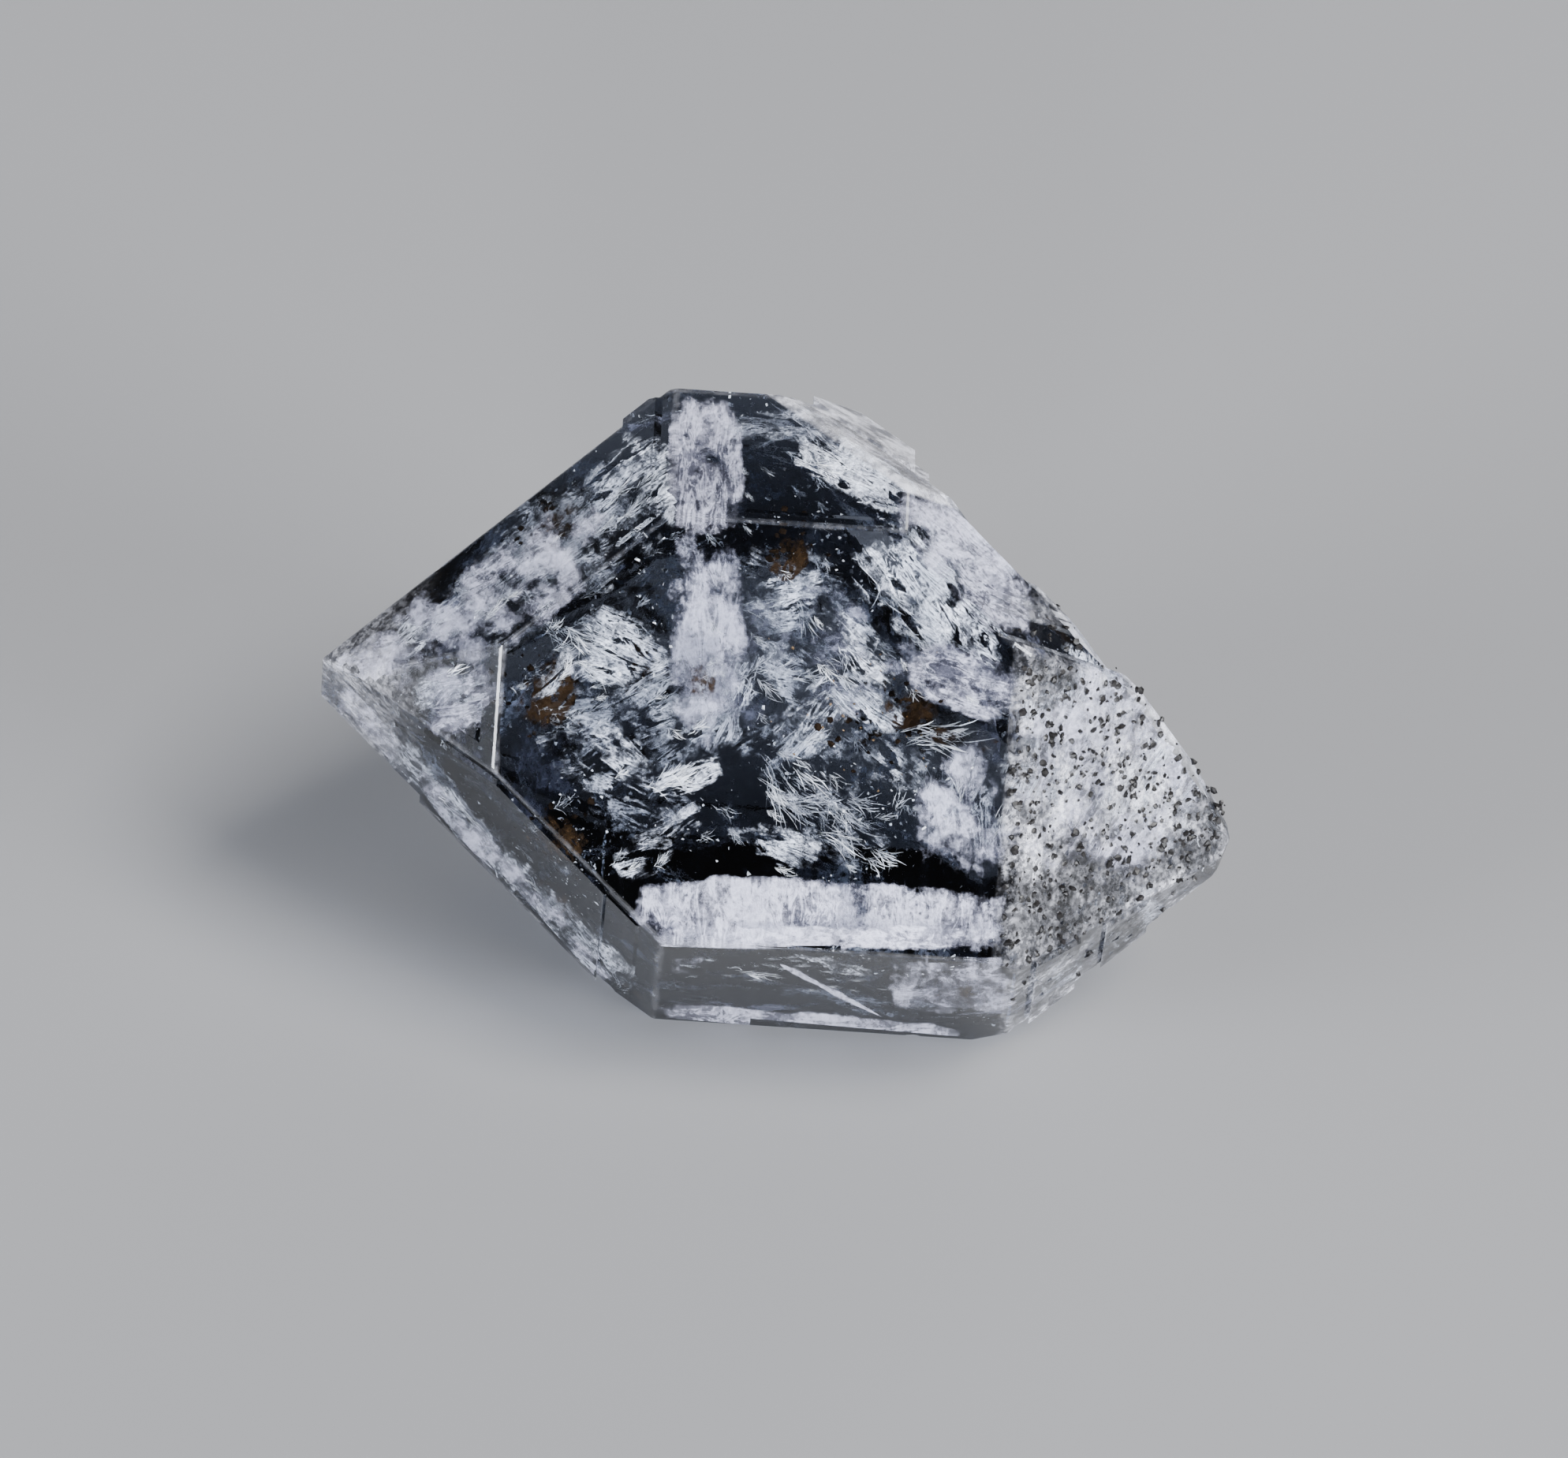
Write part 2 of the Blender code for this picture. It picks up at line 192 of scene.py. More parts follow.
class Finish:
    """A material with its nodes. Its coordinates are in millimetres from the growth centre."""

    def __init__(self, name):
        self.material = bpy.data.materials.new(name)
        self.material.use_nodes = True
        self.tree = self.material.node_tree
        self.tree.nodes.clear()
        self.output = self.tree.nodes.new("ShaderNodeOutputMaterial")
        place = self.node("ShaderNodeTexCoord").outputs["Object"]
        centre = -GROWTH_CENTRE / MM
        inputs = {"Vector": place, "Location": centre, "Scale": (1 / MM,) * 3}
        mapping = self.node("ShaderNodeMapping", {}, inputs)
        self.place = mapping.outputs["Vector"]

    def node(self, kind, settings=None, inputs=None):
        """Adds a node: first its settings, then the values or links of its sockets."""
        node = self.tree.nodes.new(kind)
        for name, value in (settings or {}).items():
            if name == "stops":
                self.set_stops(node.color_ramp, value)
            else:
                setattr(node, name, value)
        for name, value in (inputs or {}).items():
            value = value.socket if isinstance(value, Field) else value
            if isinstance(value, bpy.types.NodeSocket):
                self.tree.links.new(value, node.inputs[name])
            else:
                node.inputs[name].default_value = value
        return node

    def set_stops(self, ramp, stops):
        """Fills a colour ramp with pairs of position and colour."""
        while len(ramp.elements) < len(stops):
            ramp.elements.new(1.0)
        for element, (position, colour) in zip(ramp.elements, stops):
            element.position = position
            element.color = (*colour, 1.0)

    def noise(
        self, size, detail=3.0, roughness=0.55, offset=(0, 0, 0), stretch=(1, 1, 1), place=None, swirl=0.0
    ):
        """Cloudy variation from 0 to 1 with blotches of about the given size in mm."""
        source = self.place if place is None else place
        moved = self.node("ShaderNodeMapping", {}, {"Vector": source, "Location": offset, "Scale": stretch})
        inputs = {"Vector": moved.outputs[0], "Scale": 1 / size, "Detail": detail, "Roughness": roughness}
        inputs["Distortion"] = swirl
        return Field(self, self.node("ShaderNodeTexNoise", {}, inputs).outputs[0])

    def depth_below(self, face):
        """Distance in millimetres inwards from the plane of a face."""
        normal, distance = FACES[face]
        inputs = {0: self.place, 1: normal}
        dot = self.node("ShaderNodeVectorMath", {"operation": "DOT_PRODUCT"}, inputs)
        return distance - Field(self, dot.outputs["Value"])

    def along(self, axis):
        """Position in millimetres along X, Y or Z."""
        split = self.node("ShaderNodeSeparateXYZ", {}, {0: self.place})
        return Field(self, split.outputs[axis])

    def attribute(self, name):
        """A value that a piece carries at its own points."""
        return self.node("ShaderNodeAttribute", {"attribute_name": name}).outputs

    def colours(self, amount, *stops):
        """A colour that follows a number from 0 to 1."""
        return self.node("ShaderNodeValToRGB", {"stops": stops}, {"Fac": amount}).outputs["Color"]

    def principled(self, **inputs):
        """A Principled shader; underscores in names stand for spaces."""
        named = {name.replace("_", " "): value for name, value in inputs.items()}
        return self.node("ShaderNodeBsdfPrincipled", {}, named).outputs["BSDF"]

    def bump(self, height, distance, strength=1.0):
        """Fine relief from a height, with its full depth in millimetres."""
        inputs = {"Height": height, "Distance": distance * MM, "Strength": strength}
        return self.node("ShaderNodeBump", {}, inputs).outputs["Normal"]

    def mix(self, amount, first, second):
        """Blends two shaders."""
        return self.node("ShaderNodeMixShader", {}, {0: amount, 1: first, 2: second}).outputs[0]

    def let_lamps_pass(self, shader, colour):
        """Lets the light of lamps through as plain tinted light; what is seen stays the shader."""
        to_lamp = self.node("ShaderNodeLightPath").outputs["Is Shadow Ray"]
        passing = self.node("ShaderNodeBsdfTransparent", {}, {"Color": colour}).outputs[0]
        return self.mix(to_lamp, shader, passing)

    def done(self, shader):
        """Puts the shader on the surface and hands over the material."""
        self.tree.links.new(shader, self.output.inputs["Surface"])
        return self.material


print("shader helpers ready")

# %% [markdown]
# Three things whiten the skin of the real crystal. Ridges are worn where two faces meet. The
# right end is frosted by fine etching. The back shoulder and the left point are clouded. A
# point lies on a ridge when it is close to two face planes at once, so the finish counts how
# many planes are near and keeps what is over one. The rest comes from masks of single faces.

# %% White parts of the skin
RIDGE_WIDTH = 0.085
RIDGE_SHARE = 0.20
NEAR_FACE = 0.16
RIGHT_END = (4.6, 5.6)
LEFT_POINT = (7.4, 9.4)
ETCHED_FACES = {"right_front_upper": 1.0, "right_front_lower": 0.8, "right_base": 0.6, "right_top": 0.35}
CLOUDED_FACES = {"shoulder": 1.0, "back_upper": 0.15, "right_back_upper": 0.4}


def face_mask(finish, shares):
    """A mask of the named faces, each with its own share."""
    total = 0
    for face, share in shares.items():
        on_face = (1 - finish.depth_below(face) / NEAR_FACE).math("MAXIMUM", 0, clamp=True)
        total = total + on_face.ramp(0, 0.4) * share
    return total


def ridge_mask(finish):
    """Worn ridges, of uneven width and broken up by fine wear."""
    wear = finish.noise(0.16, 3, 0.7, offset=(3, 1, 7))
    width = RIDGE_WIDTH * (0.2 + finish.noise(0.8, 2) * 1.6)
    near = 0
    for face in FACES:
        near = near + (1 - finish.depth_below(face) / width).math("MAXIMUM", 0, clamp=True)
    return ((near - 1).ramp(0.0, 0.9) * (wear * 2.4 - 0.7)).math("MAXIMUM", 0)


def whiteness(finish):
    """How white the skin is at each place, from 0 to 0.95."""
    patches = finish.noise(1.5, 4, 0.72, offset=(4, 4, 4)).ramp(0.42, 0.58)
    grain = finish.noise(0.13, 3, 0.75, offset=(9, 2, 4)).ramp(0.44, 0.58)
    bars = finish.noise(0.9, 3, 0.6, offset=(2, 5, 3), stretch=(2.6, 0.6, 0.6)).ramp(0.34, 0.50)
    stretches = finish.noise(2.6, 3, 0.6, offset=(6, 3, 8)).ramp(0.40, 0.60)
    right_end = finish.along("X").ramp(*RIGHT_END)
    uneven = right_end * (stretches * 0.6 + 0.4) * (bars * 0.75 + 0.25)
    etching = 0.05 + patches * 0.25 + grain * 0.26 + grain * patches * 0.45
    frost = face_mask(finish, ETCHED_FACES) * uneven * etching
    flank = face_mask(finish, CLOUDED_FACES) * (0.35 + patches * 0.35 + grain * 0.3)
    point = (finish.along("X") * -1).ramp(*LEFT_POINT) * (0.15 + grain * 0.35)
    return (frost + point + flank + ridge_mask(finish) * RIDGE_SHARE).math("MINIMUM", 0.95)


print("etched faces:", ", ".join(ETCHED_FACES))

# %% [markdown]
# The skin itself is clear quartz, with its true bending of light, and chalk white is blended
# over it. The real crystal looks dark in its depth, where dark surroundings show through. The
# floor here is pale, so a grey absorption paints that shade into the quartz. Lamps are hard to
# find through bent glass, so the light that goes out to them passes the skin unbent.

# %% Clear quartz skin
# The absorption tint and density are painted shade for the depth of the clear quartz.
SKIN_TINT = (0.965, 0.975, 0.99, 1.0)
LAMP_PASS = (0.93, 0.94, 0.96, 1.0)
DEPTH_SHADE_TINT = (0.60, 0.62, 0.66, 1.0)
DEPTH_SHADE_DENSITY = 560.0
CHALK_DARK, CHALK_LIGHT = (0.09, 0.09, 0.105), (0.62, 0.62, 0.68)
CHALK_SHARE = 0.72
RELIEF_DEPTH = 0.010


def quartz_skin():
    """Clear glass with whitened parts, fine relief, and a grey absorption inside that paints shade into its
    depth.
    """
    finish = Finish("clear_quartz")
    white = whiteness(finish)
    waves = finish.noise(1.6, 2, offset=(5, 5, 5), stretch=(1, 0.25, 0.25))
    normal = finish.bump(finish.noise(0.12, 2, 0.6) * 0.5 + waves * 2, RELIEF_DEPTH, 0.4)
    clear = finish.principled(
        Base_Color=SKIN_TINT,
        Roughness=(white * 0.35).math("ADD", 0.005),
        IOR=QUARTZ_IOR,
        Transmission_Weight=1.0,
        Normal=normal,
    )
    mottle = finish.noise(0.30, 4, 0.7, offset=(1, 6, 2)) + finish.noise(1.1, 3, offset=(8, 1, 5))
    shade = finish.colours(mottle.ramp(0.8, 1.2), (0.0, CHALK_DARK), (1.0, CHALK_LIGHT))
    chalk = finish.principled(Base_Color=shade, Roughness=0.55, Normal=normal)
    dressed = finish.mix(white * CHALK_SHARE, clear, chalk)
    # Grey absorption inside: painted shade that darkens the depth of the clear quartz.
    inside = {"Color": DEPTH_SHADE_TINT, "Density": DEPTH_SHADE_DENSITY}
    depth_shade = finish.node("ShaderNodeVolumeAbsorption", {}, inputs=inside)
    finish.tree.links.new(depth_shade.outputs[0], finish.output.inputs["Volume"])
    return finish.done(finish.let_lamps_pass(dressed, LAMP_PASS))


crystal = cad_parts["crystal"]
crystal.data.materials.clear()
crystal.data.materials.append(quartz_skin())
print("skin on", crystal.name)

# %% [markdown]
# The inside is crowded with veils, which are cracks that healed while the crystal still grew.
# A veil holds a film of fluid, so it shines like foil in places and is clear in others. Each
# one is a crumpled sheet. Every point of it carries its place on the sheet and how whole the
# veil is there, and the finish turns both into torn wisps that follow the sheet.

# %% Veil sheets
WALL = 0.05
LEAST_DEPTH = 0.09
VEIL_STEP = 0.14


def new_piece(name, bm, material):
    """Turns a bmesh in millimetres from the growth centre into a finished, riding piece."""
    bmesh.ops.scale(bm, vec=(MM, MM, MM), verts=bm.verts[:])
    bmesh.ops.translate(bm, vec=GROWTH_CENTRE, verts=bm.verts[:])
    mesh = bpy.data.meshes.new(name)
    bm.to_mesh(mesh)
    bm.free()
    mesh.materials.append(material)
    piece = bpy.data.objects.new(name, mesh)
    bpy.context.collection.objects.link(piece)
    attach(piece, "root")
    print(name, len(mesh.polygons), "faces")


def trim_to_crystal(bm, wall):
    """Deletes what comes nearer to a face than the wall thickness."""
    outside = [vert for vert in bm.verts if room_inside(vert.co) < wall]
    bmesh.ops.delete(bm, geom=outside, context="VERTS")


def behind(face, right, up, depth, angle, slope):
    """Lays a sheet behind a face, so that it shows at its place and angle in the picture."""
    cosine, sine = math.cos(math.radians(angle)), math.sin(math.radians(angle))

    def place(x, y, lift):
        deeper = max(LEAST_DEPTH, depth + lift + slope[0] * x + slope[1] * y)
        return seen_through(face, right + x * cosine - y * sine, up + x * sine + y * cosine, deeper)

    return place


def add_veil(bm, place, width, height, crumple, cover, seed):
    """One crumpled sheet; cover says how whole it is, from about 0.3 to 3."""
    grain = bm.verts.layers.float_vector["grain"]
    whole = bm.verts.layers.float["whole"]
    columns, rows = max(2, int(width / VEIL_STEP)), max(2, int(height / VEIL_STEP))
    fresh = bmesh.ops.create_grid(bm, x_segments=columns, y_segments=rows, size=0.5)["verts"]
    shift = Vector((seed * 3.7, seed * 1.3, seed * 2.1))
    for vert in fresh:
        x, y = vert.co.x * width, vert.co.y * height
        flat = Vector((x, y, 0)) + shift
        across, upright = abs(2 * x / width), abs(2 * y / height)
        rim = (across ** 2 + upright ** 2) ** 2
        edge = max(across, upright) + 0.12 * noise.noise(flat * 1.6)
        vert[grain] = flat
        vert[whole] = cover - rim - cover * max(0, edge) ** 8
        lift = noise.fractal(flat * 0.6, 0.9, 2.0, 3) + 0.25 * noise.noise(flat * 3)
        vert.co = place(x, y, lift * crumple)


print("veil sheets have a point every", VEIL_STEP, "mm")

# %% [markdown]
# Seen close up, a healed crack is a film that has drawn back into islands and threads. The
# finish layers four noises over the sheet. Broad clouds say where the film is left, threads
# tear it, fine grain roughens its edges, and the lines between threads are bright folds. The
# same finish with other colours and tears gives silvery foil, milk and brown clay stain.

# %% Veil finishes
VEIL_PASS = (0.58, 0.59, 0.61, 1.0)


def veil_finish(name, light, dark, metal, roughness, thread, stretch, tear, film, lines, most, shine):
    """Torn wisps: a broken film and the fine bright lines where it is folded.

    Thread is the size of the threads in mm, and tear the noise levels between which the film
    goes from gone to whole. Film and lines weigh the two layers, and most is their limit.
    """
    finish = Finish(name)
    place = finish.attribute("grain")["Vector"]
    whole = Field(finish, finish.attribute("whole")["Fac"])
    threads = finish.noise(thread, 4, 0.66, stretch=stretch, place=place, swirl=0.9)
    clouds = finish.noise(0.9, 4, 0.66, offset=(7, 3, 0), place=place)
    broad = finish.noise(2.2, 1, offset=(4, 6, 0), place=place)
    fine = finish.noise(0.13, 3, 0.7, offset=(1, 9, 0), place=place)
    patch = (whole * 0.55 + (clouds - 0.5) * 3.2).ramp(0.0, 0.75)
    broken = ((threads - 0.5) * 4.5 + (fine - 0.5) * 2.4).ramp(*tear)
    folds = (1 - (threads - 0.5).math("ABSOLUTE") * 16).math("MAXIMUM", 0)
    cover = (patch * (broken * film + folds * lines)).math("MINIMUM", most)
    # The tone varies at random over the film, and its near-black end is also painted shade, the dark depth
    # between the wisps.
    tone = (fine - 0.5) * 1.2 + (clouds - 0.5) * 2.0 + (broad - 0.5) * 1.8 + folds * 0.5
    shader = finish.principled(
        Base_Color=finish.colours(tone.ramp(-0.45, 0.65), (0.0, dark), (1.0, light)),
        Roughness=roughness,
        Metallic=metal,
        Alpha=cover,
        Normal=finish.bump(fine, 0.12),
        Specular_IOR_Level=shine,
    )
    return finish.done(finish.let_lamps_pass(shader, VEIL_PASS))


# The dark colours of foil and milk are partly the film's own grey and partly painted shade between the wisps.
foil = veil_finish(
    "veil_foil",
    light=(0.80, 0.83, 0.92),
    dark=(0.03, 0.032, 0.045),
    metal=0.35,
    roughness=0.36,
    thread=0.45,
    stretch=(0.4, 1.7, 1),
    tear=(-0.15, 1.0),
    film=0.85,
    lines=0.9,
    most=0.95,
    shine=0.5,
)
milk = veil_finish(
    "veil_milk",
    light=(0.44, 0.435, 0.52),
    dark=(0.05, 0.05, 0.07),
    metal=0.0,
    roughness=0.6,
    thread=0.5,
    stretch=(0.5, 1.5, 1),
    tear=(-2.2, 0.8),
    film=0.8,
    lines=0.1,
    most=0.82,
    shine=0.2,
)
stain = veil_finish(
    "clay_stain",
    light=(0.014, 0.0078, 0.0035),
    dark=(0.002, 0.0012, 0.0007),
    metal=0.0,
    roughness=0.5,
    thread=0.4,
    stretch=(0.7, 1.3, 1),
    tear=(-0.6, 0.6),
    film=1.6,
    lines=0.3,
    most=0.95,
    shine=0.0,
)
print("veil finishes:", foil.name, milk.name, stain.name)

# %% [markdown]
# The tables say where each veil shows in the picture and how deep it lies: millimetres right
# and up of the growth centre, the depth behind the face, the angle in the picture, the width
# and height, how far it is crumpled, and how whole it is.

# %% Where the veils lie
WHITE_VEILS = (
    # face, right, up, depth, angle, width, height, crumple, cover
    ("front_upper", -3.3, 1.3, 1.0, -25, 2.8, 2.0, 0.35, 0.8),
    ("front_upper", -4.2, -0.4, 1.6, 15, 2.6, 2.4, 0.40, 0.5),
    ("front_upper", -3.0, -2.0, 1.6, -20, 3.0, 1.8, 0.35, 0.5),
    ("front_upper", -2.8, -3.3, 0.5, 20, 1.6, 1.0, 0.25, 1.1),
    ("front_upper", -1.9, -1.5, 0.6, 18, 1.8, 0.8, 0.25, 1.1),
    ("front_upper", 0.4, 2.3, 1.4, 10, 2.6, 1.6, 0.35, 0.6),
    ("front_upper", 0.6, 0.9, 2.2, -25, 2.8, 1.8, 0.40, 0.5),
    ("front_upper", 2.1, 0.1, 0.7, -38, 1.9, 1.1, 0.35, 1.0),
    ("front_upper", 0.2, -0.6, 2.2, 30, 2.6, 1.6, 0.40, 0.4),
    ("front_upper", 1.5, -2.6, 1.4, -34, 3.2, 1.7, 0.30, 0.5),
    ("front_upper", 3.0, 2.6, 0.6, -50, 3.4, 1.9, 0.30, 1.1),
    ("front_upper", 4.1, 1.6, 0.5, -48, 2.4, 1.4, 0.25, 1.1),
    ("front_upper", 4.1, -2.0, 1.2, 85, 3.2, 2.0, 0.30, 0.6),
    ("front_upper", -0.9, 0.2, 1.2, 70, 3.0, 1.2, 0.35, 0.7),
    ("top", 1.8, 5.2, 0.4, -28, 2.8, 1.2, 0.20, 2.4),
    ("top", 1.2, 5.6, 0.7, -40, 1.6, 0.8, 0.25, 2.0),
    ("front_upper", -2.6, -0.6, 1.8, 30, 5.0, 4.0, 0.60, 0.35),
    ("front_upper", 1.6, -0.6, 1.9, -40, 5.0, 4.0, 0.60, 0.35),
    ("front_upper", 0.5, 2.4, 1.6, -20, 4.0, 2.6, 0.50, 0.4),
    ("left_top", -5.4, 3.2, 1.2, 35, 6.5, 2.6, 0.40, 0.4),
    ("front_upper", -4.4, 0.9, 0.7, 40, 2.2, 1.0, 0.30, 0.6),
    ("front_upper", -3.6, -0.9, 0.9, -30, 2.4, 1.4, 0.30, 0.6),
    ("front_upper", 0.9, -0.2, 1.0, 50, 2.4, 1.4, 0.35, 0.6),
    ("front_upper", 1.9, 1.4, 0.9, -45, 2.6, 1.2, 0.30, 0.6),
    ("front_upper", 0.0, -2.9, 0.9, -20, 3.0, 1.0, 0.25, 0.5),
    ("front_upper", -2.3, -2.5, 0.9, 25, 2.2, 1.0, 0.25, 0.6),
    ("top", 2.3, 4.5, 0.3, -20, 1.2, 0.5, 0.15, 1.9),
    ("top", 0.4, 6.2, 0.9, 0, 3.6, 0.9, 0.25, 0.7),
    ("left_top", -3.2, 4.7, 0.6, 40, 3.2, 2.4, 0.30, 1.0),
    ("left_top", -5.4, 3.2, 0.8, 35, 3.8, 1.8, 0.30, 0.7),
    ("left_top", -7.6, 1.7, 0.6, 35, 3.0, 1.3, 0.25, 0.8),
    ("left_front_upper", -7.0, 0.4, 0.6, 20, 2.0, 1.6, 0.25, 0.7),
    ("left_front_lower", -7.6, -1.7, 0.5, -48, 3.6, 1.2, 0.20, 0.9),
    ("left_front_lower", -5.8, -3.6, 0.5, -48, 3.6, 1.3, 0.20, 0.9),
    ("left_front_lower", -4.2, -5.2, 0.5, -48, 3.0, 1.3, 0.20, 1.0),
    ("left_front_lower", -6.6, -3.4, 0.2, -48, 5.0, 0.6, 0.06, 1.3),
    ("left_front_lower", -4.4, -5.9, 0.2, -48, 3.4, 0.6, 0.06, 1.3),
    ("right_top", 4.4, 3.4, 0.6, -45, 3.8, 1.4, 0.25, 1.0),
    ("right_front_upper", 6.6, -0.4, 0.8, 70, 4.0, 2.8, 0.35, 1.0),
    ("right_front_upper", 8.4, -1.8, 0.6, 60, 3.0, 2.4, 0.35, 1.0),
    ("right_front_lower", 7.2, -5.2, 0.5, 35, 4.0, 1.0, 0.20, 0.9),
    ("front_lower", 1.2, -5.6, 0.25, -12, 2.2, 0.5, 0.08, 0.8),
)
PALE_VEILS = (
    ("front_upper", -1.45, 1.9, 0.8, 90, 5.0, 1.9, 0.20, 1.1),
    ("front_upper", -1.3, 0.2, 1.0, 80, 2.6, 1.6, 0.20, 0.8),
    ("front_upper", 0.2, 1.2, 2.0, 0, 7.0, 4.0, 0.40, 0.35),
    ("top", -1.45, 5.4, 0.4, 90, 3.4, 1.8, 0.12, 1.5),
    ("front_upper", -0.6, -4.45, 0.3, 92, 1.7, 5.6, 0.10, 1.4),
    ("front_upper", 3.0, -4.55, 0.3, 87, 1.6, 5.0, 0.10, 1.4),
    ("front_upper", 1.0, -5.0, 0.2, 0, 8.0, 0.7, 0.05, 1.6),
    ("left_top", -8.9, 1.0, 0.25, 35, 2.2, 1.2, 0.06, 1.2),
    ("left_front_lower", -8.9, -0.4, 0.25, -48, 2.4, 0.9, 0.06, 1.2),
    ("front_upper", 4.2, 0.6, 0.5, -20, 2.8, 1.6, 0.12, 1.3),
    ("front_upper", 4.1, -2.2, 0.7, 90, 3.8, 2.3, 0.20, 0.7),
    ("left_top", -6.0, 2.6, 0.4, 35, 7.0, 2.2, 0.12, 0.7),
    ("left_front_upper", -6.9, 0.3, 0.35, 20, 2.2, 1.8, 0.10, 0.8),
    ("right_top", 4.4, 3.2, 0.35, -45, 4.4, 1.6, 0.12, 1.2),
    ("shoulder", 2.1, 6.0, 0.25, -36, 3.6, 1.2, 0.05, 0.6),
    ("front_lower", 3.9, -6.1, 0.25, 0, 3.0, 1.4, 0.06, 1.3),
    ("front_lower", 0.9, -6.95, 0.1, -5, 7.6, 0.6, 0.02, 2.4),
    ("front_lower", 1.3, -6.2, 0.15, -28, 2.8, 0.16, 0.01, 3.0),
    ("front_lower", -1.6, -5.6, 0.2, 5, 2.2, 0.6, 0.05, 0.6),
    ("right_front_upper", 7.4, -1.4, 0.4, 60, 5.6, 4.6, 0.15, 1.1),
    ("left_front_lower", -5.8, -3.6, 0.3, -48, 8.0, 0.8, 0.10, 0.8),
)
CLAY_VEILS = (
    ("front_upper", -4.9, 0.35, 0.9, 60, 1.9, 1.3, 0.30, 1.0),
    ("front_upper", -4.7, -2.8, 0.8, -50, 1.4, 0.8, 0.20, 1.1),
    ("front_upper", 3.1, 0.0, 0.6, 10, 1.5, 1.0, 0.25, 1.0),
    ("front_upper", 4.2, -0.7, 0.6, -12, 2.4, 0.6, 0.20, 0.9),
    ("front_upper", 0.35, 3.3, 0.7, 60, 1.2, 0.9, 0.25, 1.0),
    ("front_upper", -2.9, 1.0, 1.6, 70, 1.8, 1.0, 0.30, 0.9),
    ("front_upper", -1.6, 0.8, 0.5, 90, 1.6, 0.9, 0.20, 0.6),
    ("left_top", -4.8, 4.0, 0.5, 40, 1.6, 1.0, 0.20, 1.0),
    ("left_front_lower", -4.6, -4.2, 0.3, -48, 1.8, 0.7, 0.10, 1.0),
    ("front_lower", 4.2, -6.3, 0.2, 0, 2.2, 0.6, 0.06, 0.9),
)
print(len(WHITE_VEILS), "white,", len(PALE_VEILS), "milky and", len(CLAY_VEILS), "clay veils")

# %% [markdown]
# The photograph doesn't show the far half of the crystal. Veils are strewn there at random,
# each one roughly parallel to the nearest hidden face, as the ones in front are.

# %% Build the veils
SEED = 11
HIDDEN_WHITE, HIDDEN_MILKY, HIDDEN_CLAY = 36, 16, 8
HIDDEN_CRUMPLE, HIDDEN_COVER = 0.35, 0.7


def hidden_veils(rng, count):
    """Places and sizes of veils at random behind the faces that look away from the camera."""
    rows = []
    while len(rows) < count:
        centre = Vector((rng.uniform(-9, 9.5), rng.uniform(-6, 7), rng.uniform(-6.2, 6.5)))
        room, face = nearest_face(centre)
        normal = FACES[face][0]
        if 0.25 < room < 2.2 and normal.dot(TO_CAMERA) < 0.1:
            lean = normal - TO_CAMERA + Vector([rng.uniform(-0.4, 0.4) for axis in range(3)])
            size = rng.uniform(1.2, 4.2)
            matrix = Matrix.Translation(centre) @ picture_turn(rng.uniform(0, 360), lean)
            rows.append((matrix, size, size * rng.uniform(0.4, 0.8)))
    return rows


def veil_piece(name, rows, material, rng, extra):
    """One piece from the veils of a table and some hidden ones."""
    bm = bmesh.new()
    bm.verts.layers.float_vector.new("grain")
    bm.verts.layers.float.new("whole")
    for seed, (face, right, up, depth, angle, width, height, crumple, cover) in enumerate(rows, 1):
        slope = [rng.uniform(-0.4, 0.4) * crumple / 0.3 for axis in range(2)]
        add_veil(bm, behind(face, right, up, depth, angle, slope), width, height, crumple, cover, seed)
    for seed, (matrix, width, height) in enumerate(extra, 50):

        def place(x, y, lift):
            return matrix @ Vector((x, y, lift))

        add_veil(bm, place, width, height, HIDDEN_CRUMPLE, HIDDEN_COVER, seed)
    trim_to_crystal(bm, WALL)
    new_piece(name, bm, material)


veil_rng = random.Random(SEED)
veil_piece("white_veils", WHITE_VEILS, foil, veil_rng, hidden_veils(veil_rng, HIDDEN_WHITE))
veil_piece("milky_veils", PALE_VEILS, milk, veil_rng, hidden_veils(veil_rng, HIDDEN_MILKY))
veil_piece("clay_veils", CLAY_VEILS, stain, veil_rng, hidden_veils(veil_rng, HIDDEN_CLAY))

# %% [markdown]
# Some veils end in feathers: bundles of slender bright threads that fan out from one root. A
# feather is made once in a few forms, and each form is then copied with other turns and sizes,
# which is much quicker than making every thread by itself.

# %% Feathers and flakes
FEATHER_WALL = 0.12
FEATHER_FORMS, FEATHER_THREADS, HIDDEN_FEATHERS = 6, 20, 40
FLAKE_FORMS, FLAKES_IN_FORM, FLAKE_CLUSTERS = 4, 40, 60


def solid_finish(name, colour, roughness, metal, shine=0.5):
    """An opaque finish that is mottled down to a third of its colour."""
    finish = Finish(name)
    tone = finish.noise(0.4, 4, 0.6).ramp(0.3, 0.7)
    dark = tuple(value * 0.35 for value in colour)
    shade = finish.colours(tone, (0.0, dark), (1.0, colour))
    return finish.done(
        finish.principled(Base_Color=shade, Roughness=roughness, Metallic=metal, Specular_IOR_Level=shine)
    )


silver = solid_finish("thread_silver", (0.95, 0.97, 1.0), 0.30, 0.5)
clay = solid_finish("brown_clay", (0.0085, 0.0047, 0.0022), 0.6, 0.0, 0.02)
gold = solid_finish("golden_film", (0.36, 0.22, 0.10), 0.28, 0.6)
bitumen = solid_finish("black_grain", (0.006, 0.005, 0.005), 0.4, 0.0, 0.3)


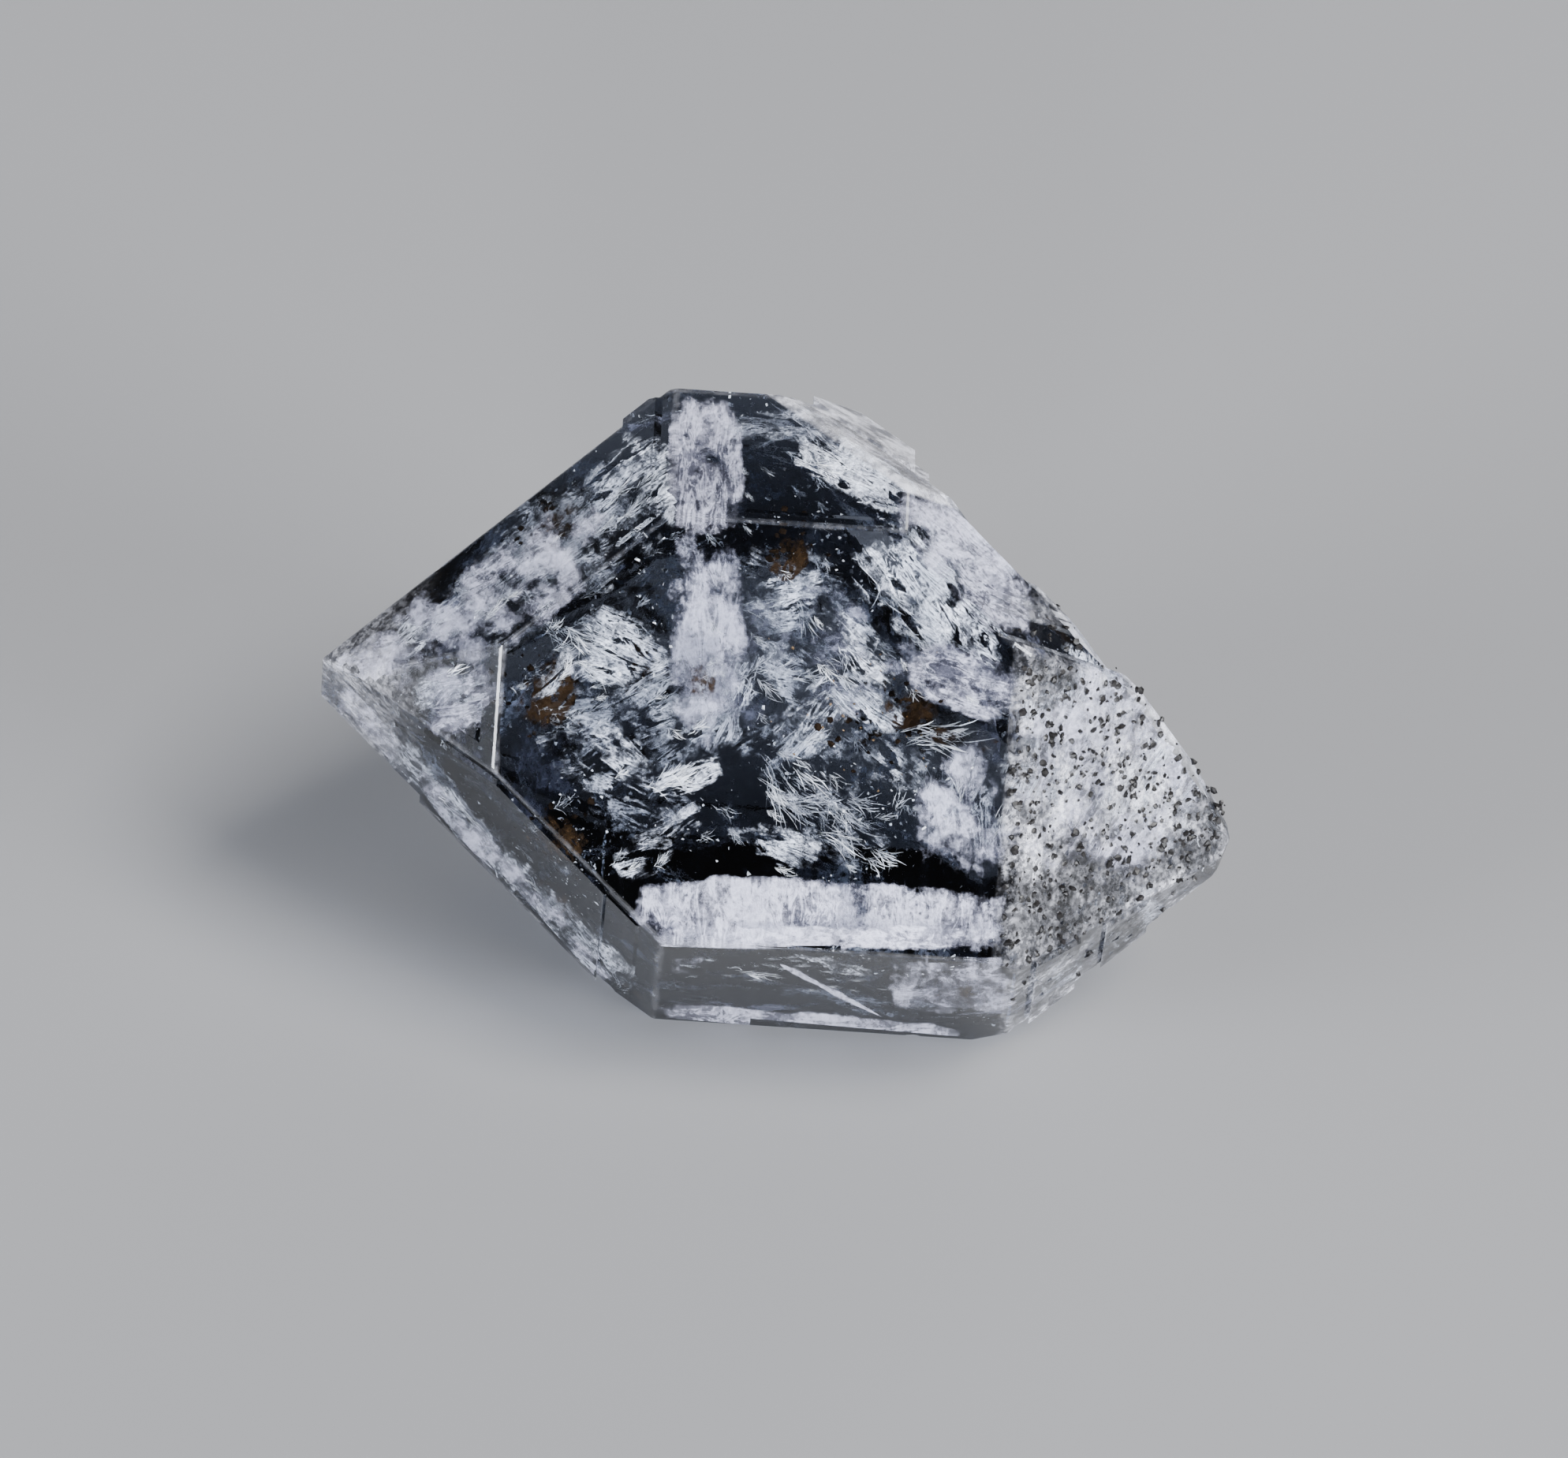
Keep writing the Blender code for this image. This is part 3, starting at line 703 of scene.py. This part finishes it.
def feather_mesh(count, length, width, fan, rng):
    """Slender curved threads that fan out from one root along X."""
    bm = bmesh.new()
    for number in range(count):
        fresh = bmesh.ops.create_grid(bm, x_segments=5, y_segments=1, size=0.5)["verts"]
        reach, wide = length * rng.uniform(0.3, 1), width * rng.uniform(0.3, 1)
        bend, rise = rng.gauss(0, 0.22) * length, rng.gauss(0, 0.15) * length
        for vert in fresh:
            along = vert.co.x + 0.5
            taper = 0.15 + math.sin(math.pi * along)
            vert.co = Vector((along * reach, vert.co.y * wide * taper + bend * along ** 2, rise * along ** 2))
        root = Vector((rng.gauss(0, 0.3), rng.gauss(0, 0.12), rng.gauss(0, 0.12))) * length
        turn = Matrix.Rotation(rng.gauss(0, fan), 4, "Z") @ Matrix.Rotation(rng.gauss(0, 0.5), 4, "X")
        bmesh.ops.transform(bm, matrix=Matrix.Translation(root) @ turn, verts=fresh)
    mesh = bpy.data.meshes.new("feather")
    bm.to_mesh(mesh)
    bm.free()
    return mesh


def flake_mesh(count, reach, sizes, rng):
    """A ball of small ragged flakes about the origin."""
    bm = bmesh.new()
    for number in range(count):
        place = Vector([rng.gauss(0, reach) for axis in range(3)])
        size = rng.uniform(*sizes)
        turn = picture_turn(rng.uniform(0, 360), [rng.uniform(-2, 2) for axis in range(3)])
        stretch = Matrix.Diagonal((size, size * rng.uniform(0.25, 0.8), size, 1))
        matrix = Matrix.Translation(place) @ turn @ stretch
        fresh = bmesh.ops.create_grid(bm, x_segments=1, y_segments=1, size=0.5, matrix=matrix)["verts"]
        for vert in fresh:
            vert.co += Vector([rng.uniform(-0.25, 0.25) * size for axis in range(3)])
    mesh = bpy.data.meshes.new("flakes")
    bm.to_mesh(mesh)
    bm.free()
    return mesh


def copies(name, meshes, matrices, material, rng):
    """One piece from many copies of a few small meshes."""
    bm = bmesh.new()
    for matrix in matrices:
        start = len(bm.verts)
        bm.from_mesh(rng.choice(meshes))
        bm.verts.ensure_lookup_table()
        bmesh.ops.transform(bm, matrix=matrix, verts=bm.verts[start:])
    trim_to_crystal(bm, FEATHER_WALL)
    new_piece(name, bm, material)
    for form in meshes:
        bpy.data.meshes.remove(form)


FEATHERS = (
    # face, right, up, depth, angle, size, spread, copies
    ("front_upper", -3.9, 1.9, 1.2, -35, 1.0, 0.5, 5),
    ("front_upper", -3.6, 1.0, 1.0, -15, 0.8, 0.4, 4),
    ("front_upper", -4.6, -0.6, 1.4, 20, 0.8, 0.6, 4),
    ("front_upper", -2.2, -1.6, 0.7, 15, 0.9, 0.25, 4),
    ("front_upper", -3.1, -3.2, 0.6, 30, 0.6, 0.3, 4),
    ("front_upper", -0.2, 1.2, 1.4, -60, 1.0, 0.6, 5),
    ("front_upper", 0.3, 0.2, 1.6, 10, 1.1, 0.6, 5),
    ("front_upper", 1.5, 0.8, 1.0, -50, 0.9, 0.4, 5),
    ("front_upper", 0.4, -1.8, 1.4, -40, 1.2, 0.5, 6),
    ("front_upper", 1.3, -2.4, 1.2, -32, 1.2, 0.4, 6),
    ("front_upper", 2.2, -3.0, 1.0, -30, 0.8, 0.3, 3),
    ("front_upper", 2.6, 2.6, 0.8, -50, 0.9, 0.6, 5),
    ("front_upper", 3.4, -0.6, 0.8, -12, 1.2, 0.25, 3),
    ("front_upper", 3.8, -2.2, 1.0, 88, 0.9, 0.5, 4),
    ("top", 1.4, 5.5, 0.6, -30, 0.9, 0.35, 6),
    ("left_top", -3.6, 4.2, 0.6, 45, 1.0, 0.5, 4),
    ("left_top", -6.4, 2.2, 0.6, 35, 1.0, 0.6, 4),
    ("left_front_lower", -7.2, -1.8, 0.4, -48, 1.2, 0.4, 4),
    ("left_front_lower", -5.4, -3.8, 0.4, -48, 1.2, 0.4, 4),
    ("front_lower", -0.4, -5.9, 0.3, -28, 1.2, 0.1, 2),
    ("front_lower", -0.4, -5.8, 0.2, -10, 0.4, 0.8, 30),
    ("front_lower", 2.0, -6.0, 0.2, -10, 0.4, 0.8, 16),
    ("front_upper", -3.6, 0.4, 1.1, 20, 0.45, 1.3, 26),
    ("front_upper", 0.6, -0.4, 1.2, -30, 0.45, 1.5, 30),
    ("front_upper", 0.6, 2.2, 1.1, -50, 0.45, 1.2, 20),
    ("front_upper", 0.6, -2.6, 1.0, -35, 0.55, 1.0, 20),
    ("front_upper", 3.4, 1.2, 0.9, -50, 0.45, 1.0, 16),
    ("left_top", -5.0, 3.4, 0.8, 38, 0.45, 1.3, 20),
    ("left_front_lower", -6.2, -3.0, 0.5, -48, 0.5, 1.3, 16),
    ("top", 0.8, 5.5, 0.6, -30, 0.45, 0.9, 14),
)


def feather_piece():
    """All the feathers: those of the table, and some in the far half."""
    rng = random.Random(SEED + 1)
    forms = [feather_mesh(FEATHER_THREADS, 0.65, 0.024, 0.24, rng) for form in range(FEATHER_FORMS)]
    matrices = []
    for face, right, up, depth, angle, size, spread, count in FEATHERS:
        for number in range(count):
            shift = Vector([rng.gauss(0, spread) for axis in range(3)])
            turn = picture_turn(angle + rng.gauss(0, 14), [rng.gauss(0, 0.3) for axis in range(3)])
            place = Matrix.Translation(seen_through(face, right, up, depth) + shift)
            matrices.append(place @ turn @ Matrix.Scale(size * rng.uniform(0.6, 1.1), 4))
    matrices += [matrix for matrix, width, height in hidden_veils(rng, HIDDEN_FEATHERS)]
    copies("feathers", forms, matrices, silver, rng)


def flake_piece():
    """Clusters of small bright flakes all round, not far below the faces."""
    rng = random.Random(SEED + 2)
    forms = [flake_mesh(FLAKES_IN_FORM, 0.6, (0.02, 0.09), rng) for form in range(FLAKE_FORMS)]
    matrices = []
    while len(matrices) < FLAKE_CLUSTERS:
        centre = Vector((rng.uniform(-8.5, 9), rng.uniform(-6, 6), rng.uniform(-6, 6.5)))
        if 0.3 < room_inside(centre) < 3.5:
            spin = picture_turn(rng.uniform(0, 360), [rng.uniform(-2, 2) for axis in range(3)])
            matrices.append(Matrix.Translation(centre) @ spin)
    copies("flakes", forms, matrices, silver, rng)


feather_piece()
flake_piece()

# %% [markdown]
# Brown clay and black specks were trapped while the crystal grew. The clay sits in soft clots
# near the healed cracks, and a few golden glints show beside it. The black grains crowd in the
# skin of the frosted right end. All of them are small rough pebbles, pressed a little flat.

# %% Clay and grains
PEBBLE_FLATNESS = 0.6
LEAST_ROOM = -0.01
GOLDEN_GRAINS = 70
BLACK_GRAINS = 640


def pebbles(bm, centre, spread, count, sizes, rng):
    """Small rough pebbles about a centre, without those whose middle would lie outside."""
    for number in range(count):
        place = centre + Vector([rng.gauss(0, spread) for axis in range(3)])
        if room_inside(place) < LEAST_ROOM:
            continue
        size = rng.uniform(*sizes)
        fresh = bmesh.ops.create_icosphere(bm, subdivisions=1, radius=size)["verts"]
        for vert in fresh:
            vert.co *= rng.uniform(0.7, 1.3)
        turn = picture_turn(rng.uniform(0, 360), [rng.uniform(-2, 2) for axis in range(3)])
        matrix = Matrix.Translation(place) @ turn @ Matrix.Diagonal((1, 1, PEBBLE_FLATNESS, 1))
        bmesh.ops.transform(bm, matrix=matrix, verts=fresh)


CLAY_SPOTS = (
    # face, right, up, depth, spread, count
    ("front_upper", -4.9, 0.35, 1.4, 0.45, 60),
    ("front_upper", -4.6, -2.9, 1.2, 0.3, 45),
    ("front_upper", 3.1, 0.0, 1.2, 0.34, 55),
    ("front_upper", 0.35, 3.4, 1.0, 0.26, 35),
    ("front_upper", 1.9, -0.4, 1.6, 0.5, 30),
    ("left_top", -4.9, 4.0, 0.8, 0.35, 45),
    ("left_front_lower", -5.0, -3.0, 0.8, 0.4, 20),
)
SPECK_FACES = (
    "right_front_upper",
    "right_front_upper",
    "right_front_upper",
    "right_front_lower",
    "right_top",
)


def trapped_pieces():
    """Clots of clay, golden grains near the middle, and black grains in the right end's skin."""
    rng = random.Random(SEED + 3)
    bm = bmesh.new()
    for face, right, up, depth, spread, count in CLAY_SPOTS:
        pebbles(bm, seen_through(face, right, up, depth), spread, count, (0.03, 0.10), rng)
    new_piece("clay_clots", bm, clay)
    bm = bmesh.new()
    for number in range(GOLDEN_GRAINS):
        spot = seen_through("front_upper", rng.gauss(1.8, 0.8), rng.gauss(0.2, 0.6), rng.uniform(0.6, 2))
        pebbles(bm, spot, 0.05, 1, (0.012, 0.04), rng)
    new_piece("golden_grains", bm, gold)
    bm = bmesh.new()
    made = 0
    while made < BLACK_GRAINS:
        face = rng.choice(SPECK_FACES)
        size = 0.028 + 0.10 * rng.random() ** 1.3
        right, up = rng.uniform(4.6, 10.2), rng.uniform(-6.4, 2.4)
        spot = seen_through(face, right, up, rng.uniform(0.0, 0.5) * size)
        if room_inside(spot) > LEAST_ROOM and spot.x > 4.8:
            pebbles(bm, spot, 0.0, 1, (size * 0.8, size), rng)
            made += 1
    new_piece("black_grains", bm, bitumen)


trapped_pieces()

# %% [markdown]
# The crystal lies on a plain floor, which is grey but looks pale under the strong lights. A
# clear crystal shows lights mostly as reflections, so each one is placed by what it mirrors.
# The key stands high on the right, where no worn ridge mirrors it to the camera. Two wide
# lights and a low one in front light the veils, and a weak panel behind draws the far edges.

# %% Floor and lights
LAMP_DISTANCE = 0.45
FLOOR_SIZE = 0.6
FLOOR_GAP = 0.00002
FLOOR_COLOUR = (0.155, 0.155, 0.16, 1.0)
ROOM_COLOUR = (0.06, 0.06, 0.065, 1.0)
COOL_WHITE = (0.90, 0.94, 1.0)


def area_light(name, direction, size, power, colour=(1, 1, 1)):
    """A square soft light that faces the crystal from a direction."""
    data = bpy.data.lights.new(name, "AREA")
    data.size, data.energy, data.color = size, power, colour
    lamp = bpy.data.objects.new(name, data)
    bpy.context.collection.objects.link(lamp)
    direction = Vector(direction).normalized()
    lamp.location = GROWTH_CENTRE + direction * LAMP_DISTANCE
    lamp.rotation_euler = direction.to_track_quat("Z", "Y").to_euler()
    print(name, "at", [round(value, 2) for value in lamp.location], "m")


bm = bmesh.new()
bmesh.ops.create_grid(bm, x_segments=1, y_segments=1, size=FLOOR_SIZE)
floor_mesh = bpy.data.meshes.new("floor")
bm.to_mesh(floor_mesh)
bm.free()
floor = bpy.data.objects.new("floor", floor_mesh)
floor.location.z = -FLOOR_GAP
bpy.context.collection.objects.link(floor)
pale = Finish("pale_floor")
floor_mesh.materials.append(pale.done(pale.principled(Base_Color=FLOOR_COLOUR, Roughness=0.8)))

area_light("key", (0.50, -0.30, 1.0), 0.16, 4.8)
area_light("front_left", (-1.0, -0.60, 0.35), 0.20, 4.6, COOL_WHITE)
area_light("front_right", (1.0, -0.60, 0.35), 0.20, 4.6, COOL_WHITE)
area_light("front_low", (0.0, -1.0, 0.055), 0.045, 5.0, (0.92, 0.95, 1.0))
area_light("back_panel", (0.5, 1.0, 0.35), 0.20, 0.9)
world = bpy.data.worlds.new("dim_room")
world.use_nodes = True
world.node_tree.nodes["Background"].inputs["Color"].default_value = ROOM_COLOUR
bpy.context.scene.world = world

# Light may turn this often; more makes the clear body slower to render, and hardly brighter.
bounces = {
    "max_bounces": 5,
    "diffuse_bounces": 1,
    "glossy_bounces": 2,
    "transmission_bounces": 4,
    "transparent_max_bounces": 8,
}
for kind, limit in bounces.items():
    setattr(bpy.context.scene.cycles, kind, limit)
